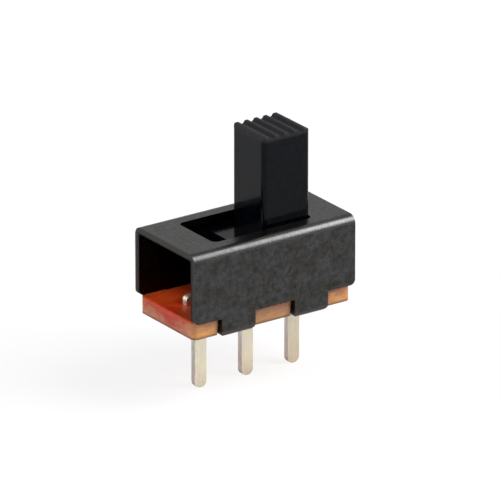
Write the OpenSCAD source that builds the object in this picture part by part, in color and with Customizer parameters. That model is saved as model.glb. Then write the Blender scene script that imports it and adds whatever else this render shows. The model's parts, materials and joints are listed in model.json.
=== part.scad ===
// Miniature slide switch: one pole, two throws, through-hole terminals in a row.
// Lengths are in millimetres. X runs along the switch, Z up towards the knob.
// The origin is on the seating plane, under the middle terminal.
// The slider is drawn at the right-hand end of its travel, which is its rest.

/* [Frame] */
// Length of the folded steel frame
frame_l = 8.6; // [8:0.1:11]
// Width of the frame over its two walls
frame_w = 4.6; // [4.2:0.1:6]
// Height of the frame, from the foot of its walls to its top
frame_h = 3.25; // [2.95:0.05:4.5]
// Thickness of the steel sheet
sheet_t = 0.3; // [0.2:0.05:0.35]
// Outside radius of the two long bends
bend_r = 0.4; // [0.35:0.05:0.8]
// Radius of the corners at the foot of the walls
wall_corner_r = 0.25; // [0.05:0.05:0.4]

/* [Slot] */
// Radius of the slot's corners
slot_r = 0.3; // [0.1:0.05:0.3]
// Gap between the knob and each end of the slot, at the end of the travel
slot_end_gap = 0.025; // [0.02:0.005:0.1]
// Gap between the knob and each side of the slot
slot_side_gap = 0.2; // [0.05:0.01:0.25]

/* [Tabs] */
// Width of each of the four tabs that hold the board
tab_w = 1.78; // [1.2:0.02:2]
// Distance of a tab's centre from the middle of the frame
tab_x = 1.95; // [1.6:0.05:2.4]
// Outside radius of the fold at the foot of a tab
fold_r = 0.36; // [0.36:0.02:0.5]
// How far a tab reaches inwards from the face of the wall
foot_reach = 0.6; // [0.5:0.05:0.8]
// How far the folded tabs stand below the board
foot_proud = 0.14; // [0.05:0.01:0.25]
// Radius of a tab's lower corners
tab_corner_r = 0.3; // [0.1:0.05:0.4]

/* [Board] */
// Thickness of the terminal board
board_t = 0.8; // [0.7:0.05:1.2]
// How far each end of the board stands back from the end of the frame
board_end_inset = 0.1; // [0:0.05:0.3]
// How far each side of the board stands back from the face of the wall
board_side_inset = 0.22; // [0.1:0.02:0.26]
// Radius of the board's corners
board_corner_r = 0.25; // [0.1:0.05:0.5]
// Radius of the upper edge at each end of the board
board_edge_r = 0.1; // [0.05:0.01:0.2]
// Gap on each side of a tab in its notch
notch_gap = 0.12; // [0.05:0.01:0.2]
// Gap between the curve inside a tab's fold and the bottom of its notch
notch_depth_gap = 0.01; // [0:0.01:0.03]

/* [Terminals] */
// Distance between terminals
pitch = 2.5; // [2.3:0.01:2.54]
// Thickness of the terminal strip
terminal_t = 0.3; // [0.2:0.05:0.4]
// Width of a terminal's pin
pin_w = 0.6; // [0.4:0.05:0.8]
// Length of a pin below the board
pin_l = 3.25; // [2.5:0.05:5]
// Width of the shoulders that stand on the board
shoulder_w = 1.5; // [1.2:0.05:1.8]
// Height of the shoulders above the board
shoulder_h = 0.42; // [0.3:0.02:0.6]
// Width of the contact blade above the shoulders
blade_w = 0.7; // [0.6:0.05:1.1]
// Height of the contact blade above the board
blade_h = 1.4; // [1:0.05:1.5]
// Length of the coined lead-in at each edge of a blade
lead_in_l = 0.15; // [0.05:0.01:0.2]

/* [Slider] */
// Travel of the slider from one position to the other
travel = 2.75; // [2.4:0.05:3]
// Length of the knob along the travel
knob_l = 2.5; // [2.3:0.05:3]
// Width of the knob across the travel
knob_w = 2.4; // [1.6:0.05:2.6]
// Height of the knob above the frame
knob_h = 4.2; // [2:0.1:8]
// Radius of the knob's upright corners
knob_corner_r = 0.2; // [0.1:0.05:0.5]
// Radius of the knob's upper edges at the front and back
knob_edge_r = 0.08; // [0.05:0.01:0.3]
// Number of finger ridges across the top of the knob
ridge_count = 5; // [3:1:5]
// Distance between ridges
ridge_pitch = 0.505; // [0.4:0.005:0.55]
// Depth of the grooves between ridges
ridge_depth = 0.17; // [0.1:0.01:0.2]
// Radius of a ridge's rounded top
ridge_top_r = 0.12; // [0.08:0.01:0.15]
// Gap between the carrier and the end of the frame, at the end of the travel
carrier_end_gap = 0.225; // [0.1:0.025:0.5]
// Running gap between the carrier and each side wall
carrier_side_gap = 0.05; // [0.03:0.01:0.1]
// Running gap between the carrier and the board
carrier_foot_gap = 0.05; // [0.03:0.01:0.1]
// Running gap between the carrier and the top of the frame
carrier_top_gap = 0.15; // [0.05:0.01:0.2]

/* [Contact clip] */
// Thickness of the spring strip
clip_t = 0.12; // [0.08:0.01:0.15]
// Width of the clip over its saddle
clip_w = 1.36; // [1.2:0.02:1.6]
// Depth of the saddle, over which its skirts run the whole length
saddle_h = 0.5; // [0.4:0.05:0.7]
// Width of each spring finger
finger_w = 0.45; // [0.35:0.05:0.6]
// Inside radius of the clip's bends
clip_bend_r = 0.08; // [0.05:0.01:0.1]
// Gap between a finger's bump and the blade it slides on
contact_gap = 0.03; // [0.02:0.005:0.05]
// How far a finger's tip flares out past its bump
tip_out = 0.2; // [0.1:0.02:0.25]
// How far a finger's tip reaches down past its bump
tip_down = 0.42; // [0.3:0.02:0.5]
// Radius of the moulded stud that holds the clip
stud_r = 0.25; // [0.2:0.01:0.3]
// Height of the stud's flattened head
stud_head_h = 0.16; // [0.1:0.01:0.2]

/* [Hidden] */
$fn = 64;

// An extra length that lets a cut run clear of the surface it opens
cut = 0.5;

// Levels, counted up from the seating plane under the folded tabs
board_bottom = foot_proud;
board_top = board_bottom + board_t;
plate_top = board_top + frame_h;
plate_bottom = plate_top - sheet_t;
knob_top = plate_top + knob_h;
carrier_top = plate_bottom - carrier_top_gap;
carrier_bottom = board_top + carrier_foot_gap;
blade_top = board_top + blade_h;

// The frame's inside face and the slot that guides the knob
wall_face = frame_w / 2 - sheet_t;
bend_inner_r = bend_r - sheet_t;
fold_inner_r = fold_r - sheet_t;
slot_l = knob_l + travel + 2 * slot_end_gap;
slot_w = knob_w + 2 * slot_side_gap;

// The board's outline, and the notch that clears each tab
board_l = frame_l - 2 * board_end_inset;
board_w = frame_w - 2 * board_side_inset;
notch_w = tab_w + 2 * notch_gap;
notch_bottom = wall_face - fold_inner_r - notch_depth_gap;
foot_end = frame_w / 2 - foot_reach;

// The slider: its middle at rest, its carrier and the two cavities under it
slider_x = travel / 2;
carrier_l = frame_l - travel - 2 * carrier_end_gap;
carrier_w = 2 * (wall_face - carrier_side_gap);
channel_w = terminal_t + 0.4;
channel_top = blade_top + 0.15;
pocket_gap = 0.07;
pocket_w = clip_w + 2 * pocket_gap;
pocket_top = carrier_top - 0.75;

// The clip: each finger's bump stands over the middle of a blade's flat
contact_x = pitch / 2;
clip_l = 2 * contact_x + finger_w;
pocket_l = clip_l + 2 * pocket_gap;
web_z = pocket_top - clip_t / 2;
skirt_y = clip_w / 2 - clip_t / 2;
saddle_z = pocket_top - saddle_h;
finger_top = saddle_z - clip_t;
bump_z = board_top + 0.62 * blade_h;
stud_hole_gap = 0.02;
stud_head_r = stud_r + 0.15;

// Rounding a bump draws it back from the blade, so its corner is set that much nearer
path_r = clip_bend_r + clip_t / 2;
touch_y = terminal_t / 2 + contact_gap + clip_t / 2;
bump_turn = atan((skirt_y - touch_y) / (finger_top - bump_z)) + atan(tip_out / tip_down);
bump_y = touch_y - path_r * (1 / cos(bump_turn / 2) - 1);

// ---- Helpers ----

// A rectangle with four rounded corners, centred on the origin
module rounded_rect(l, w, r) {
    union() {
        square([l - 2 * r, w], center = true);
        square([l, w - 2 * r], center = true);
        for (x = [-1, 1], y = [-1, 1])
            translate([x * (l / 2 - r), y * (w / 2 - r)]) circle(r);
    }
}

// A block of width w from z0 up to z1, with its two lower corners rounded
module lower_rounded(w, z0, z1, r) {
    union() {
        translate([-w / 2, z0 + r]) square([w, z1 - z0 - r]);
        translate([-w / 2 + r, z0]) square([w - 2 * r, z1 - z0]);
        for (x = [-1, 1]) translate([x * (w / 2 - r), z0 + r]) circle(r);
    }
}

// A block of width w from z0 up to z1, with its two upper corners rounded
module upper_rounded(w, z0, z1, r) {
    mirror([0, 1]) lower_rounded(w, -z1, -z0, r);
}

// Runs a section drawn in (Y, Z) along X, centred
module along_x(l) {
    rotate([90, 0, 90]) linear_extrude(l, center = true) children();
}

// Runs an outline drawn in (X, Z) through Y, centred
module through_y(w) {
    rotate([90, 0, 0]) linear_extrude(w, center = true) children();
}

// Its children in all four quarters of the plan
module four_quarters() {
    for (x = [0, 1], y = [0, 1]) mirror([x, 0, 0]) mirror([0, y, 0]) children();
}

// Folded strip: the outline of a sheet of thickness t along a bent centreline
function unit(v) = v / norm(v);
function left_of(v) = [-v[1], v[0]];
function dot2(a, b) = a[0] * b[0] + a[1] * b[1];
function way_in(p, i) = unit(p[max(i, 1)] - p[max(i, 1) - 1]);
function way_out(p, i) = unit(p[min(i + 1, len(p) - 1)] - p[min(i, len(p) - 2)]);
function mitre(p, i) =
    let (a = left_of(way_in(p, i)), b = left_of(way_out(p, i)), m = unit(a + b)) m / dot2(m, a);
function bend_points(p, i, r, n) =
    let (
        a = way_in(p, i),
        b = way_out(p, i),
        turn = acos(dot2(a, b)),
        side = sign(dot2(left_of(a), b)),
        start = p[i] - a * r * tan(turn / 2),
        middle = start + left_of(a) * side * r
    ) [for (k = [0:n]) let (t = turn * k / n) middle - left_of(a) * side * r * cos(t) + a * r * sin(t)];
function rounded_path(p, r, n) = [
    for (i = [0:len(p) - 1])
        each (i == 0 || i == len(p) - 1) ? [p[i]] : bend_points(p, i, r, n)
];
function strip(p, t) = concat(
    [for (i = [0:len(p) - 1]) p[i] + mitre(p, i) * t / 2],
    [for (i = [len(p) - 1:-1:0]) p[i] - mitre(p, i) * t / 2]
);

// ---- Frame: one folded sheet, open at both ends ----

// Half of the sheet's section: plate, bend, wall, fold and foot
module frame_half_section() {
    difference() {
        union() {
            translate([0, fold_r]) square([frame_w / 2, plate_top - bend_r - fold_r]);
            translate([0, fold_r]) square([frame_w / 2 - bend_r, plate_top - fold_r]);
            translate([frame_w / 2 - bend_r, plate_top - bend_r]) circle(bend_r);
            translate([foot_end, 0]) square([foot_reach - fold_r, fold_r]);
            translate([frame_w / 2 - fold_r, fold_r]) circle(fold_r);
        }
        union() {
            translate([-cut, sheet_t]) square([wall_face - fold_inner_r + cut, fold_r]);
            translate([-cut, fold_r]) square([wall_face + cut, plate_top - bend_r - fold_r]);
            translate([-cut, fold_r]) square([frame_w / 2 - bend_r + cut, plate_bottom - fold_r]);
            translate([frame_w / 2 - bend_r, plate_top - bend_r]) circle(bend_inner_r);
            translate([frame_w / 2 - fold_r, fold_r]) circle(fold_inner_r);
        }
        translate([-cut, -cut]) square([foot_end + cut, fold_r + cut]);
        translate([-2 * frame_w, -cut]) square([2 * frame_w, plate_top + 2 * cut]);
    }
}

// The walls and tabs seen from the side
module frame_side() {
    union() {
        lower_rounded(frame_l, board_top, plate_top + cut, wall_corner_r);
        for (x = [-1, 1])
            translate([x * tab_x, 0]) lower_rounded(tab_w, 0, board_top + cut, tab_corner_r);
    }
}

module frame() {
    color([0.25, 0.25, 0.27])
    difference() {
        intersection() {
            along_x(frame_l) union() {
                frame_half_section();
                mirror([1, 0]) frame_half_section();
            }
            through_y(frame_w + 2 * cut) frame_side();
        }
        translate([0, 0, plate_bottom - cut])
            linear_extrude(sheet_t + 2 * cut) rounded_rect(slot_l, slot_w, slot_r);
    }
}

// ---- Terminal board ----

module terminal_board() {
    color([0.7, 0.3, 0.12])
    difference() {
        intersection() {
            translate([0, 0, board_bottom])
                linear_extrude(board_t) rounded_rect(board_l, board_w, board_corner_r);
            through_y(board_w + cut) upper_rounded(board_l, board_bottom, board_top, board_edge_r);
        }
        four_quarters() {
            translate([tab_x - notch_w / 2, notch_bottom, -cut])
                cube([notch_w, board_w, board_top + 2 * cut]);
            translate([tab_x - notch_w / 2, foot_end - notch_gap, -cut])
                cube([notch_w, board_w, sheet_t + cut]);
        }
        for (x = [-1, 0, 1])
            translate([x * pitch - pin_w / 2, -terminal_t / 2, -cut])
                cube([pin_w, terminal_t, board_top + 2 * cut]);
    }
}

// ---- Terminals ----

module terminal(x) {
    pin_tip = board_bottom - pin_l;
    coined = terminal_t / 6;
    color([0.83, 0.82, 0.79])
    translate([x, 0, 0]) {
        union() {
            through_y(terminal_t) union() {
                translate([0, pin_tip + pin_w / 2]) circle(pin_w / 2);
                translate([-pin_w / 2, pin_tip + pin_w / 2])
                    square([pin_w, board_top + shoulder_h / 2 - pin_tip - pin_w / 2]);
                upper_rounded(shoulder_w, board_top, board_top + shoulder_h, shoulder_h / 2);
            }
            intersection() {
                through_y(terminal_t) upper_rounded(blade_w, board_top, blade_top, blade_w / 5);
                linear_extrude(blade_top + cut) polygon([
                    for (s = [[1, 1], [-1, 1], [-1, -1], [1, -1]])
                        each (s[0] * s[1] > 0)
                            ? [[s[0] * blade_w / 2, s[1] * coined],
                               [s[0] * (blade_w / 2 - lead_in_l), s[1] * terminal_t / 2]]
                            : [[s[0] * (blade_w / 2 - lead_in_l), s[1] * terminal_t / 2],
                               [s[0] * blade_w / 2, s[1] * coined]]
                ]);
            }
        }
    }
}

module terminal_1() terminal(-pitch);
module terminal_2() terminal(0);
module terminal_3() terminal(pitch);

// ---- Slider: knob and carrier in one moulding ----

// The knob seen from the side: rounded ridges and grooves, and a rounded shoulder at each end
module knob_side() {
    last_ridge = (ridge_count - 1) / 2 * ridge_pitch;
    shoulder_r = knob_l / 2 - last_ridge;
    groove_r = ridge_pitch / 2 - ridge_top_r + 0.02;
    difference() {
        union() {
            translate([-knob_l / 2, carrier_top - cut])
                square([knob_l, knob_top - shoulder_r - carrier_top + cut]);
            translate([-last_ridge, carrier_top])
                square([2 * last_ridge, knob_top - ridge_depth / 2 - carrier_top]);
            for (side = [0, 1]) mirror([side, 0])
                translate([last_ridge, knob_top - shoulder_r]) intersection() {
                    circle(shoulder_r);
                    translate([0, -cut]) square([2 * shoulder_r, 2 * cut]);
                }
            for (i = [0:ridge_count - 1])
                translate([i * ridge_pitch - last_ridge, knob_top - ridge_top_r]) circle(ridge_top_r);
        }
        for (i = [0:ridge_count - 2])
            translate([(i + 0.5) * ridge_pitch - last_ridge, knob_top - ridge_depth + groove_r])
                circle(groove_r);
    }
}

module slider() {
    color([0.11, 0.11, 0.12])
    translate([slider_x, 0, 0])
    union() {
        intersection() {
            through_y(knob_w) knob_side();
            along_x(knob_l) upper_rounded(knob_w, carrier_top - cut, knob_top, knob_edge_r);
            translate([0, 0, carrier_top - cut])
                linear_extrude(knob_top) rounded_rect(knob_l, knob_w, knob_corner_r);
        }
        difference() {
            along_x(carrier_l) upper_rounded(carrier_w, carrier_bottom, carrier_top, bend_inner_r);
            translate([-carrier_l, -channel_w / 2, 0]) cube([2 * carrier_l, channel_w, channel_top]);
            translate([-pocket_l / 2, -pocket_w / 2, 0]) cube([pocket_l, pocket_w, pocket_top]);
        }
        translate([0, 0, pocket_top - clip_t - stud_head_h]) cylinder(h = stud_head_h, r = stud_head_r);
        translate([0, 0, pocket_top - clip_t - stud_head_h / 2])
            cylinder(h = clip_t + stud_head_h / 2 + cut / 2, r = stud_r);
    }
}

// ---- Contact clip: a folded spring that bridges two neighbouring terminals ----

module contact_clip() {
    half = [
        [skirt_y, web_z],
        [skirt_y, finger_top],
        [bump_y, bump_z],
        [bump_y + tip_out, bump_z - tip_down]
    ];
    left_half = [for (i = [len(half) - 1:-1:0]) [-half[i][0], half[i][1]]];
    color([0.72, 0.5, 0.28])
    translate([slider_x, 0, 0])
    difference() {
        along_x(clip_l)
            polygon(strip(rounded_path(concat(left_half, half), path_r, 5), clip_t));
        through_y(clip_w + cut)
            upper_rounded(clip_l - 2 * finger_w, bump_z - tip_down - cut, saddle_z, 0.15);
        translate([0, 0, web_z - cut]) cylinder(h = 2 * cut, r = stud_r + stud_hole_gap);
    }
}

frame();
terminal_board();
terminal_1();
terminal_2();
terminal_3();
slider();
contact_clip();
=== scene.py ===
"""The looks of the slide switch: finishes, camera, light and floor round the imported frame."""
import json
import math

import bpy
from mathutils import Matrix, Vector

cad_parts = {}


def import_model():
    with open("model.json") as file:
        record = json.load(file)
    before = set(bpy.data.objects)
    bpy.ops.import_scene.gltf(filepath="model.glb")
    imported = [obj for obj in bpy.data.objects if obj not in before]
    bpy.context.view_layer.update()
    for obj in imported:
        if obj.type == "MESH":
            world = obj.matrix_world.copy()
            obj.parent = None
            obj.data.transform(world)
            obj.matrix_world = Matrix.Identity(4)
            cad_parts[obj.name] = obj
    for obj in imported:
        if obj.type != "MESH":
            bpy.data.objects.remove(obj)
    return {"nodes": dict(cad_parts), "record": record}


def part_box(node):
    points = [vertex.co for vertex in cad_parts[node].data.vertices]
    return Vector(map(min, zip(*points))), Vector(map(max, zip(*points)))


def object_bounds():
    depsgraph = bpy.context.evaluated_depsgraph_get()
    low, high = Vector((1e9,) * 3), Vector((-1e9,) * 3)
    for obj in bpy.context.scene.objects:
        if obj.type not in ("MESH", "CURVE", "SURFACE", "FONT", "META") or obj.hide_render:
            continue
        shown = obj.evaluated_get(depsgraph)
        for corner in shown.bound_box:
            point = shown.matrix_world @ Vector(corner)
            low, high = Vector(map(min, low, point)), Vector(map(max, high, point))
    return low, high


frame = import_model()
cad_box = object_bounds()

MM = 0.001


# ---- Small helpers for node materials ----

class Nodes:
    """A node tree under construction. A value is a socket or a plain number."""

    def __init__(self, tree):
        self.tree = tree

    def add(self, kind):
        return self.tree.nodes.new(kind)

    def link(self, source, target):
        """Joins a socket, or gives a plain number, to an input."""
        if isinstance(source, (int, float)):
            target.default_value = source
        else:
            self.tree.links.new(source, target)

    def math(self, operation, first, second=0.0):
        node = self.add("ShaderNodeMath")
        node.operation = operation
        self.link(first, node.inputs[0])
        self.link(second, node.inputs[1])
        return node.outputs[0]

    def ramp(self, value, low, high, start=0.0, end=1.0):
        """value from start to end becomes low to high, held level outside."""
        node = self.add("ShaderNodeMapRange")
        node.inputs["From Min"].default_value = start
        node.inputs["From Max"].default_value = end
        self.link(low, node.inputs["To Min"])
        self.link(high, node.inputs["To Max"])
        self.link(value, node.inputs["Value"])
        return node.outputs["Result"]

    def band(self, value, rise, fall):
        """0, then 1 once value has passed through rise, then 0 again past fall."""
        risen, not_fallen = self.ramp(value, 0, 1, *rise), self.ramp(value, 1, 0, *fall)
        return self.math("MULTIPLY", risen, not_fallen)


class Finish(Nodes):
    """A material under construction, which measures the object in millimetres."""

    def __init__(self, name):
        self.material = bpy.data.materials.new(name)
        self.material.use_nodes = True
        super().__init__(self.material.node_tree)
        self.shader = self.tree.nodes["Principled BSDF"]
        coordinates = self.add("ShaderNodeTexCoord")
        scaled = self.add("ShaderNodeVectorMath")
        scaled.operation = "SCALE"
        scaled.inputs["Scale"].default_value = 1 / MM
        self.link(coordinates.outputs["Object"], scaled.inputs[0])
        self.place = scaled.outputs[0]

    def set(self, **values):
        """Constants, each on the shader's own socket."""
        for name, value in values.items():
            self.shader.inputs[name.replace("_", " ")].default_value = value

    def part_of(self, vector, axis):
        parts = self.add("ShaderNodeSeparateXYZ")
        self.link(vector, parts.inputs[0])
        return parts.outputs[axis]

    def coordinate(self, axis):
        return self.part_of(self.place, axis)

    def off_middle(self):
        """How far the place is from the switch's long middle plane."""
        return self.math("ABSOLUTE", self.coordinate("Y"))

    def facing(self, axis):
        """How squarely the surface faces along one axis, either way, from 0 to 1."""
        geometry = self.add("ShaderNodeNewGeometry")
        return self.math("ABSOLUTE", self.part_of(geometry.outputs["Normal"], axis))

    def noise(self, per_mm, detail, roughness, stretch=None):
        """Cloudy noise round 0.5; stretch scales the place along each axis, for grain."""
        node = self.add("ShaderNodeTexNoise")
        node.inputs["Scale"].default_value = per_mm
        node.inputs["Detail"].default_value = detail
        node.inputs["Roughness"].default_value = roughness
        place = self.place
        if stretch:
            mapping = self.add("ShaderNodeMapping")
            mapping.inputs["Scale"].default_value = stretch
            self.link(place, mapping.inputs["Vector"])
            place = mapping.outputs["Vector"]
        self.link(place, node.inputs["Vector"])
        return node.outputs["Fac"]

    def blotches(self, per_mm, detail, roughness, spread, low=0, high=1, stretch=None):
        """Noise with the part up to spread either side of 0.5 drawn out from low to high."""
        noise = self.noise(per_mm, detail, roughness, stretch)
        return self.ramp(noise, low, high, 0.5 - spread, 0.5 + spread)

    def mix(self, amount, first, second):
        """A colour between two, each given as (r, g, b) or as a socket."""
        node = self.add("ShaderNodeMix")
        node.data_type = "RGBA"
        self.link(amount, node.inputs["Factor"])
        for socket, colour in ((node.inputs["A"], first), (node.inputs["B"], second)):
            if isinstance(colour, tuple):
                socket.default_value = (*colour, 1)
            else:
                self.link(colour, socket)
        return node.outputs["Result"]

    def bump(self, relief, strength, depth_mm):
        node = self.add("ShaderNodeBump")
        node.inputs["Strength"].default_value = strength
        node.inputs["Distance"].default_value = depth_mm * MM
        self.link(relief, node.inputs["Height"])
        return node.outputs["Normal"]

    def finish(self, colour, roughness, normal):
        self.link(colour, self.shader.inputs["Base Color"])
        self.link(roughness, self.shader.inputs["Roughness"])
        self.link(normal, self.shader.inputs["Normal"])
        return self.material


# ---- Places that the finishes refer to, in millimetres ----

SHEET = 0.3
NEAR = 0.01    # sets a place just past the face that it is named after
FRAME_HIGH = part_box("frame")[1] / MM
WALL_INSIDE = FRAME_HIGH.y - SHEET + NEAR
PLATE_INSIDE = FRAME_HIGH.z - SHEET + NEAR
BOARD_LOW, BOARD_TOP = (corner.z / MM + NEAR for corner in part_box("terminal_board"))
BOARD_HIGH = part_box("terminal_board")[1] / MM
LAST_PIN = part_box("terminal_3")[0].x / MM - NEAR
KNOB_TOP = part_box("slider")[1].z / MM

# Where the marks, and the painted light and shade, on the surfaces start and end, or how wide
# they are.
HIGHLIGHT_LEAST, HIGHLIGHT_MOST = -FRAME_HIGH.x + 1.3, FRAME_HIGH.x - 0.3    # of the painted highlight along the bends
TAB_FOOT, TAB_FOOT_END = BOARD_LOW + 0.04, BOARD_LOW + 0.16
WALL_EDGE = 0.2        # on the walls' sheared ends, from the painted shade of the inside to the outside's colour
PLATE_EDGE = 0.07      # the same on the plate's
BOARD_SHADE, BOARD_SHADE_END = 1.0, 2.4    # painted shade, out from the middle of the board's sides
BOARD_LIT, BOARD_LIT_END = -BOARD_HIGH.x + 0.6, -BOARD_HIGH.x + 1.3
BOARD_SKIN = 0.24      # the face's skin, run down over the board's ends
BOARD_RIM = 0.14       # the darker rim along the board's underside
GLOSSY_KNOB, DULL_GRIP = KNOB_TOP - 0.3, KNOB_TOP - 0.12


# ---- Finishes ----

def worn_bends_and_painted_highlight(f, coat):
    """Bends partly worn and partly given a painted highlight: brighter towards the right, and
    most along their lower side.
    """
    out, up = f.facing("Y"), f.facing("Z")
    # Painted highlight, partly wear: the bends get a brighter reflectance, rising towards the
    # right.
    bend = f.ramp(f.math("MINIMUM", out, up), 0, 0.85, 0.25, 0.55)
    rightward = f.ramp(f.coordinate("X"), 0, 1, HIGHLIGHT_LEAST, HIGHLIGHT_MOST)
    uneven = f.blotches(0.75, 3, 0.5, spread=0.15, low=-0.3, high=0.3)
    wear_and_highlight = f.math("ADD", rightward, uneven)
    coat = f.mix(bend, coat, f.mix(wear_and_highlight, (0.041, 0.0405, 0.041), (0.068, 0.067, 0.068)))
    # Painted highlight along the lower side of the front bend, which lengthens the highlight
    # below.
    lower = f.band(up, rise=(0.12, 0.3), fall=(0.36, 0.54))
    lower = f.math("MULTIPLY", lower, f.math("GREATER_THAN", out, 0.5))
    return f.mix(lower, coat, (0.082, 0.080, 0.080))


def tab_feet_and_painted_shade(f, coat):
    """Tabs brown towards their feet, with painted shade where they fold under the board."""
    # Painted shade: the fold under the board is painted darker than the rest of the foot.
    fold = f.ramp(f.facing("Z"), 0, 1, 0.0, 0.25)
    stain = f.mix(fold, (0.065, 0.061, 0.052), (0.027, 0.0245, 0.0185))
    foot = f.ramp(f.coordinate("Z"), 0.9, 0, TAB_FOOT, TAB_FOOT_END)
    return f.mix(foot, coat, stain)


def painted_shade_inside(f):
    """1 on the faces that look into the frame, between board and plate, where painted shade
    goes, and 0 elsewhere.
    """
    wall = f.math("LESS_THAN", f.off_middle(), WALL_INSIDE)
    under = f.math("LESS_THAN", f.coordinate("Z"), PLATE_INSIDE)
    over = f.math("GREATER_THAN", f.coordinate("Z"), BOARD_TOP)
    return f.math("MULTIPLY", f.math("MULTIPLY", wall, under), over)


def black_steel():
    """Blackened steel sheet: a dark mirror, mottled warm and cool, and duller on its ends, with
    painted shade inside and painted highlights along its bends.
    """
    f = Finish("black_steel")
    f.set(Metallic=1.0)
    cloud = f.blotches(1.3, 3, 0.6, spread=0.12)
    mottle = f.blotches(5, 4, 0.7, spread=0.15)
    warm = f.mix(mottle, (0.0255, 0.0245, 0.0215), (0.0515, 0.0495, 0.0450))
    cool = f.mix(mottle, (0.034, 0.034, 0.036), (0.063, 0.062, 0.065))
    coat = tab_feet_and_painted_shade(f, worn_bends_and_painted_highlight(f, f.mix(cloud, warm, cool)))

    sheared = f.ramp(f.facing("X"), 0, 1, 0.7, 0.95)
    # The sheared ends are duller, and painted darker towards the inside, as painted shade
    # running on from the inside's.
    outer = f.math(
        "MAXIMUM",
        f.ramp(f.off_middle(), 0, 1, WALL_INSIDE, WALL_INSIDE + WALL_EDGE),
        f.ramp(f.coordinate("Z"), 0, 1, PLATE_INSIDE, PLATE_INSIDE + PLATE_EDGE),
    )
    coat = f.mix(sheared, coat, f.mix(outer, (0.010, 0.006, 0.004), (0.042, 0.039, 0.036)))
    # Painted shade: the faces inside the frame are painted near black.
    coat = f.mix(painted_shade_inside(f), coat, (0.014, 0.008, 0.008))

    rough = f.math("MAXIMUM", f.ramp(mottle, 0.33, 0.25), f.math("MULTIPLY", sheared, 0.5))
    normal = f.bump(f.noise(6, 3, 0.6), strength=0.3, depth_mm=0.004)
    return f.finish(coat, rough, normal)


def board_sides(f, layers, height):
    """The board's long cut sides: tan below and brown above, the brown partly painted shade;
    painted shade in the middle, painted light at the far left.
    """
    tan = f.mix(layers, (0.44, 0.18, 0.060), (0.62, 0.32, 0.125))
    # Brown above: partly the laminate's own layers, partly painted shade under the frame's
    # walls.
    brown = f.mix(layers, (0.24, 0.095, 0.062), (0.40, 0.175, 0.115))
    blotch = f.blotches(2.5, 5, 0.7, spread=0.15, low=-0.25, high=0.25)
    side = f.mix(f.ramp(f.math("ADD", height, blotch), 0, 1, 0.3, 0.9), tan, brown)
    # Painted shade in the middle of the sides, between the tabs.
    from_centre = f.math("ABSOLUTE", f.coordinate("X"))
    midway = f.ramp(from_centre, 0.5, 0, BOARD_SHADE, BOARD_SHADE_END)
    side = f.mix(midway, side, (0.235, 0.140, 0.085))
    # Painted light on the sides near the board's left end.
    far_left_light = f.ramp(f.coordinate("X"), 0.3, 0, BOARD_LIT, BOARD_LIT_END)
    return f.mix(far_left_light, side, (0.70, 0.33, 0.09))


def phenolic_board():
    """Paper laminate: faces stained orange and red, and cut edges that show its layers."""
    f = Finish("phenolic_board")
    f.set(Specular_IOR_Level=0.25)
    height = f.ramp(f.coordinate("Z"), 0, 1, BOARD_LOW, BOARD_TOP)
    fibres = f.blotches(5, 5, 0.7, spread=0.2, stretch=(0.4, 1, 1))
    layers = f.blotches(10, 4, 0.65, spread=0.2, stretch=(0.15, 0.15, 1))

    stain = f.blotches(0.6, 3, 0.6, spread=0.1)
    orange = f.mix(fibres, (0.42, 0.050, 0.003), (0.60, 0.105, 0.010))
    red = f.mix(fibres, (0.52, 0.028, 0.005), (0.73, 0.062, 0.014))
    face = f.mix(stain, orange, red)

    # The ends, red and smooth in patches, which fade into the sides round the corners.
    patch = f.blotches(0.7, 4, 0.6, spread=0.14, low=-0.55, high=0.55)
    smooth_end = f.mix(layers, (0.31, 0.018, 0.006), (0.46, 0.050, 0.021))
    pale_end = f.mix(layers, (0.34, 0.090, 0.042), (0.56, 0.222, 0.127))
    end = f.mix(f.ramp(f.math("ADD", height, patch), 1, 0, 0.1, 0.8), smooth_end, pale_end)
    middle = f.ramp(f.off_middle(), 1, 0.4, BOARD_HIGH.y - 0.7, BOARD_HIGH.y - 0.1)
    on_end = f.math("MULTIPLY", f.ramp(f.facing("X"), 0, 1, 0.3, 1.0), middle)
    edge = f.mix(on_end, board_sides(f, layers, height), end)

    # The face's skin, run down over the ends in places, and the darker lower rim.
    ragged = f.math("ADD", f.coordinate("Z"), f.ramp(patch, -0.08, 0.08, -0.55, 0.55))
    skin = f.ramp(ragged, 0, 0.8, BOARD_TOP - BOARD_SKIN, BOARD_TOP)
    edge = f.mix(f.math("MULTIPLY", skin, f.ramp(f.facing("X"), 0.4, 1.0)), edge, face)
    rim = f.ramp(f.coordinate("Z"), 0.85, 0, BOARD_LOW, BOARD_LOW + BOARD_RIM)
    edge = f.mix(rim, edge, (0.09, 0.04, 0.02))

    colour = f.mix(f.ramp(f.facing("Z"), 0, 1, 0.4, 0.6), edge, face)
    rough = f.ramp(fibres, 0.3, 0.5)
    return f.finish(colour, rough, f.bump(layers, strength=0.3, depth_mm=0.008))


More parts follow.
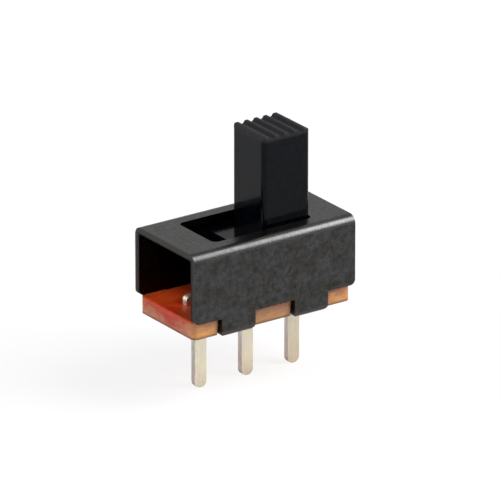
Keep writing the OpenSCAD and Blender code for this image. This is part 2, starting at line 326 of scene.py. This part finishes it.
def tinned_terminal():
    """Matt tin on brass strip: cloudy cream and grey, faintly drawn, and duller on the last."""
    f = Finish("tinned_terminal")
    f.set(Metallic=1.0)
    drawn = f.blotches(7, 4, 0.65, spread=0.2, stretch=(1, 1, 0.15))
    cloud = f.blotches(1.1, 3, 0.6, spread=0.1)
    cream = f.mix(drawn, (0.64, 0.63, 0.46), (0.74, 0.73, 0.56))
    grey = f.mix(drawn, (0.62, 0.58, 0.51), (0.73, 0.69, 0.61))
    dull = f.mix(drawn, (0.54, 0.49, 0.37), (0.64, 0.59, 0.46))
    last = f.math("GREATER_THAN", f.coordinate("X"), LAST_PIN)
    rolled = f.mix(last, f.mix(cloud, cream, grey), dull)
    sheared = f.mix(drawn, (0.60, 0.59, 0.53), (0.76, 0.75, 0.70))
    colour = f.mix(f.ramp(f.facing("X"), 0, 1, 0.5, 0.9), rolled, sheared)
    rough = f.blotches(6, 3, 0.6, spread=0.2, low=0.36, high=0.54)
    return f.finish(colour, rough, f.bump(drawn, strength=0.2, depth_mm=0.003))


def black_plastic():
    """Moulded black plastic: it mirrors the frame round its foot, and its ridges are dull."""
    f = Finish("black_plastic")
    f.set(Specular_IOR_Level=0.095)
    grip = f.ramp(f.coordinate("Z"), 0, 1, GLOSSY_KNOB, DULL_GRIP)
    grain = f.blotches(4, 4, 0.7, spread=0.15)
    body = f.mix(grain, (0.0001, 0.0004, 0.0014), (0.0020, 0.0029, 0.0050))
    ridges = f.mix(grain, (0.018, 0.018, 0.020), (0.026, 0.026, 0.029))
    rough = f.ramp(grip, f.ramp(grain, 0.10, 0.18), 0.5)
    normal = f.bump(f.noise(9, 3, 0.5), strength=0.3, depth_mm=0.003)
    return f.finish(f.mix(grip, body, ridges), rough, normal)


def spring_bronze():
    """Bare rolled phosphor bronze."""
    f = Finish("spring_bronze")
    f.set(Metallic=1.0)
    rolled = f.noise(12, 3, 0.6, stretch=(0.1, 1, 1))
    streaks = f.ramp(rolled, 0, 1, 0.3, 0.7)
    colour = f.mix(streaks, (0.55, 0.30, 0.12), (0.70, 0.42, 0.20))
    rough = f.ramp(rolled, 0.25, 0.4)
    return f.finish(colour, rough, f.bump(rolled, strength=0.2, depth_mm=0.003))


FINISHES = {
    make.__name__: make()
    for make in (black_steel, phenolic_board, tinned_terminal, black_plastic, spring_bronze)
}
for part in frame["record"]["subparts"]:
    slots = frame["nodes"][part["node"]].data.materials
    slots.clear()
    slots.append(FINISHES[part["material_slot"]])


# ---- Camera: the photograph's long lens, from the front left and above ----

VIEW_LEFT = math.radians(34.9)
VIEW_DOWN = math.radians(21.7)
VIEW_DISTANCE = 0.3837
NEAREST_SEEN = 0.01
LENS_PER_WIDTH = 17.43      # focal length over sensor width

# The middle of the view: how far right of the switch's axis, up in the view, and its height.
AIM_RIGHT, AIM_UP, AIM_HEIGHT = 0.2014 * MM, 0.6062 * MM, 2.14 * MM


def aim_camera():
    ahead = Vector((
        math.sin(VIEW_LEFT) * math.cos(VIEW_DOWN),
        math.cos(VIEW_LEFT) * math.cos(VIEW_DOWN),
        -math.sin(VIEW_DOWN),
    ))
    right = Vector((math.cos(VIEW_LEFT), -math.sin(VIEW_LEFT), 0))
    up = right.cross(ahead)
    aim = Vector((0, 0, AIM_HEIGHT)) + right * AIM_RIGHT + up * AIM_UP
    camera = bpy.data.objects.new("camera", bpy.data.cameras.new("camera"))
    bpy.context.scene.collection.objects.link(camera)
    bpy.context.scene.camera = camera
    camera.location = aim - ahead * VIEW_DISTANCE
    camera.rotation_mode = "QUATERNION"
    camera.rotation_quaternion = ahead.to_track_quat("-Z", "Y")
    camera.data.lens = camera.data.sensor_width * LENS_PER_WIDTH
    camera.data.clip_start = NEAREST_SEEN


aim_camera()


# ---- Light ----

LAMP_DISTANCE = 0.5


def soft_box(name, towards, wide, tall, radiance):
    """A lamp in that direction from the switch, with its size and its brightness seen there."""
    lamp = bpy.data.lights.new(name, "AREA")
    lamp.shape = "RECTANGLE"
    lamp.size = wide
    lamp.size_y = tall
    lamp.energy = radiance * wide * tall * math.pi
    box = bpy.data.objects.new(name, lamp)
    bpy.context.scene.collection.objects.link(box)
    direction = Vector(towards).normalized()
    box.location = (cad_box[0] + cad_box[1]) / 2 + direction * LAMP_DISTANCE
    box.rotation_mode = "QUATERNION"
    box.rotation_quaternion = direction.to_track_quat("Z", "Y")


# The key stands where the camera sees it mirrored along the frame's front bend.
soft_box("key", towards=(0.532, -0.468, 0.705), wide=0.22, tall=0.42, radiance=11.3)
soft_box("fill", towards=(-0.9, 0.35, 0.4), wide=0.6, tall=0.6, radiance=1.45)

ROOM_LIGHT = 0.2
ROOM_MIRRORED_LOW, ROOM_MIRRORED_HIGH = 0.68, 1.1
LOW_SINE, HIGH_SINE = 0.3, 1.0    # of the angle above the horizon


def world():
    """A white room: plain white to the camera, and mirrored dimmer low down than overhead."""
    scene_world = bpy.data.worlds.new("white_room")
    bpy.context.scene.world = scene_world
    scene_world.use_nodes = True
    n = Nodes(scene_world.node_tree)
    background = n.tree.nodes["Background"]
    background.inputs["Color"].default_value = (1, 1, 1, 1)
    direction = n.add("ShaderNodeSeparateXYZ")
    n.link(n.add("ShaderNodeTexCoord").outputs["Generated"], direction.inputs[0])
    mirrored = n.ramp(
        direction.outputs["Z"], ROOM_MIRRORED_LOW, ROOM_MIRRORED_HIGH, LOW_SINE, HIGH_SINE)
    ray = n.add("ShaderNodeLightPath").outputs
    reflected = n.math("MAXIMUM", ray["Is Glossy Ray"], ray["Is Transmission Ray"])
    strength = n.ramp(reflected, ROOM_LIGHT, mirrored)
    strength = n.ramp(ray["Is Camera Ray"], strength, 1.0)
    n.link(strength, background.inputs["Strength"])


world()


# ---- Floor ----

FLOOR_HALF = 3.0
FLOOR_WHITENING = 0.85


def floor():
    """White paper; the camera sees part of it as plain white, which leaves a faint shadow."""
    mesh = bpy.data.meshes.new("floor")
    signs = ((-1, -1), (1, -1), (1, 1), (-1, 1))
    corners = [(x * FLOOR_HALF, y * FLOOR_HALF, cad_box[0].z) for x, y in signs]
    mesh.from_pydata(corners, [], [(0, 1, 2, 3)])
    plane = bpy.data.objects.new("floor", mesh)
    bpy.context.scene.collection.objects.link(plane)
    f = Finish("floor_white")
    f.set(Specular_IOR_Level=0.0, Roughness=0.9, Base_Color=(0.95, 0.95, 0.95, 1))
    white = f.add("ShaderNodeEmission")
    seen = f.add("ShaderNodeLightPath").outputs["Is Camera Ray"]
    blend = f.add("ShaderNodeMixShader")
    f.link(f.math("MULTIPLY", seen, FLOOR_WHITENING), blend.inputs["Fac"])
    f.link(f.shader.outputs["BSDF"], blend.inputs[1])
    f.link(white.outputs["Emission"], blend.inputs[2])
    f.link(blend.outputs["Shader"], f.tree.nodes["Material Output"].inputs["Surface"])
    mesh.materials.append(f.material)


floor()

bpy.context.scene.view_settings.view_transform = "Standard"
